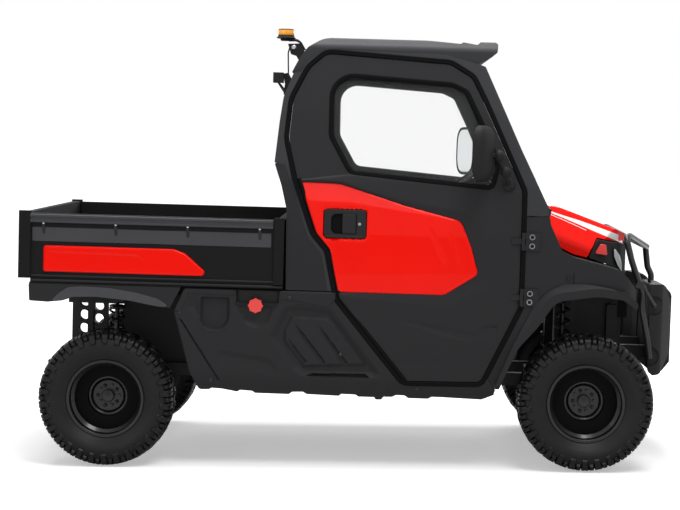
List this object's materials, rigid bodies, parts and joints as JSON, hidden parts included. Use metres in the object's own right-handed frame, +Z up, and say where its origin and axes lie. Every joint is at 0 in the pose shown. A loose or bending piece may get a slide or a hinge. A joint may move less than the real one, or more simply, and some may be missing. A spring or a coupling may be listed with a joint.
{
  "type": "side by side utility vehicle",
  "caption": "Two-seat utility vehicle with a closed cab, tipping load bed with drop tailgate, brush guard, tipping hood, steered front wheels and hinged doors.",
  "frame": {"origin": "centre of the footprint on the ground under the tyres", "axes": "+X forward along the length, +Y to the vehicle's left, +Z up"},
  "size_m": [3.1704, 1.8986, 2.118],
  "materials": {
    "amber": "amber lens",
    "bed_black": "textured black bed",
    "black_plastic": "textured black moulding",
    "black_steel": "black paint",
    "cast": "cast grey",
    "dash_plastic": "dark grey moulding",
    "glass": "clear tinted",
    "lamp_clear": "clear lens over reflector",
    "red_gloss": "glossy red",
    "seat": "black vinyl",
    "steel": "bare steel",
    "tyre": "black rubber"
  },
  "bodies": {
    "vehicle": {"beacon_bracket": "black_steel", "beacon_dome": "amber", "brush_guard": "black_steel", "bumper": "black_plastic", "cab_glass": "glass", "cab_sides": "black_plastic", "chassis_frame": "black_steel", "coilovers": "steel", "cowl": "black_plastic", "dashboard": "dash_plastic", "drive_axles": "cast", "engine": "cast", "floor_pan": "dash_plastic", "front_fenders": "black_plastic", "fuel_cap": "red_gloss", "grille": "black_plastic", "headlamps": "lamp_clear", "muffler": "steel", "pedals_and_lever": "dash_plastic", "rear_corner_panels": "black_plastic", "rear_wall": "black_plastic", "roll_cage": "black_steel", "roof": "black_plastic", "seat_backs": "seat", "seat_base": "dash_plastic", "seat_cushions": "seat", "side_panels": "black_plastic", "steering_column": "dash_plastic", "suspension_arms": "black_steel", "work_lamp": "black_plastic"},
    "door_right": {"door_shell_right": "black_plastic", "door_panel_right": "red_gloss", "door_glass_right": "glass", "door_fittings_right": "black_plastic"},
    "knuckle_right": {"knuckle_right": "black_steel"},
    "wheel_front_right": {"rim_front_right": "black_steel", "tyre_front_right": "tyre"},
    "wheel_rear_right": {"rim_rear_right": "black_steel", "tyre_rear_right": "tyre"},
    "door_left": {"door_shell_left": "black_plastic", "door_panel_left": "red_gloss", "door_glass_left": "glass", "door_fittings_left": "black_plastic"},
    "knuckle_left": {"knuckle_left": "black_steel"},
    "wheel_front_left": {"rim_front_left": "black_steel", "tyre_front_left": "tyre"},
    "wheel_rear_left": {"rim_rear_left": "black_steel", "tyre_rear_left": "tyre"},
    "hood": {"hood": "red_gloss"},
    "load_bed": {"bed_tub": "bed_black", "bed_fenders": "black_plastic", "bed_trim": "red_gloss"},
    "tailgate": {"tailgate": "bed_black"},
    "lift_barrel": {"lift_barrel": "steel"},
    "lift_rod": {"lift_rod": "steel"},
    "steering_wheel": {"steering_wheel": "dash_plastic"},
    "steering_rack": {"steering_rack": "steel"}
  },
  "joints": [
    {"name": "steer_right", "type": "hinge", "parent": "vehicle", "child": "knuckle_right", "pos_m": [1.09776, -0.555, 0.324], "axis": [0.0192, 0, 0.9998], "range_deg": [-28, 28]},
    {"name": "spin_front_right", "type": "hinge", "parent": "knuckle_right", "child": "wheel_front_right", "pos_m": [1.09776, -0.635, 0.324], "axis": [0, 1, 0], "continuous": true},
    {"name": "spin_rear_right", "type": "hinge", "parent": "vehicle", "child": "wheel_rear_right", "pos_m": [-1.18224, -0.635, 0.324], "axis": [0, 1, 0], "continuous": true},
    {"name": "steer_left", "type": "hinge", "parent": "vehicle", "child": "knuckle_left", "pos_m": [1.09776, 0.555, 0.324], "axis": [0.0192, 0, 0.9998], "range_deg": [-28, 28]},
    {"name": "spin_front_left", "type": "hinge", "parent": "knuckle_left", "child": "wheel_front_left", "pos_m": [1.09776, 0.635, 0.324], "axis": [0, 1, 0], "continuous": true},
    {"name": "spin_rear_left", "type": "hinge", "parent": "vehicle", "child": "wheel_rear_left", "pos_m": [-1.18224, 0.635, 0.324], "axis": [0, 1, 0], "continuous": true},
    {"name": "turn_steering_wheel", "type": "hinge", "parent": "vehicle", "child": "steering_wheel", "pos_m": [0.4737, 0.38, 1.29433], "axis": [-0.5864, 0, 0.81], "range_deg": [-379, 379]},
    {"name": "slide_rack", "type": "slide", "parent": "vehicle", "child": "steering_rack", "axis": [0, 1, 0], "range_m": [-0.0566, 0.0566]},
    {"name": "open_door_right", "type": "hinge", "parent": "vehicle", "child": "door_right", "pos_m": [0.78481, -0.775, 0.9843], "axis": [0.0192, 0, 0.9998], "range_deg": [0, 75]},
    {"name": "open_door_left", "type": "hinge", "parent": "vehicle", "child": "door_left", "pos_m": [0.78481, 0.775, 0.9843], "axis": [-0.0192, 0, -0.9998], "range_deg": [0, 75]},
    {"name": "open_hood", "type": "hinge", "parent": "vehicle", "child": "hood", "pos_m": [1.33248, 0, 1.0658], "axis": [0, 1, 0], "range_deg": [0, 55]},
    {"name": "tilt_bed", "type": "hinge", "parent": "vehicle", "child": "load_bed", "pos_m": [-1.33683, 0, 0.815], "axis": [0, -1, 0], "range_deg": [0, 45]},
    {"name": "drop_tailgate", "type": "hinge", "parent": "load_bed", "child": "tailgate", "pos_m": [-1.56794, 0, 0.91546], "axis": [0, -1, 0], "range_deg": [0, 90]},
    {"name": "swing_lift_barrel", "type": "hinge", "parent": "vehicle", "child": "lift_barrel", "pos_m": [-0.74866, 0, 0.45365], "axis": [0, -1, 0], "range_deg": [-5.77, 0]},
    {"name": "extend_lift_rod", "type": "slide", "parent": "lift_barrel", "child": "lift_rod", "axis": [-0.7345, 0, 0.6786], "range_m": [0, 0.1332]}
  ],
  "couplings": [
    {"joint": "steer_left", "follows": "steer_right", "ratio": 1},
    {"joint": "slide_rack", "follows": "steer_right", "m_per_rad": -0.11528},
    {"joint": "turn_steering_wheel", "follows": "steer_right", "ratio": 13.5},
    {"joint": "swing_lift_barrel", "follows": "tilt_bed", "ratio": -0.128},
    {"joint": "extend_lift_rod", "follows": "tilt_bed", "m_per_rad": 0.169}
  ]
}
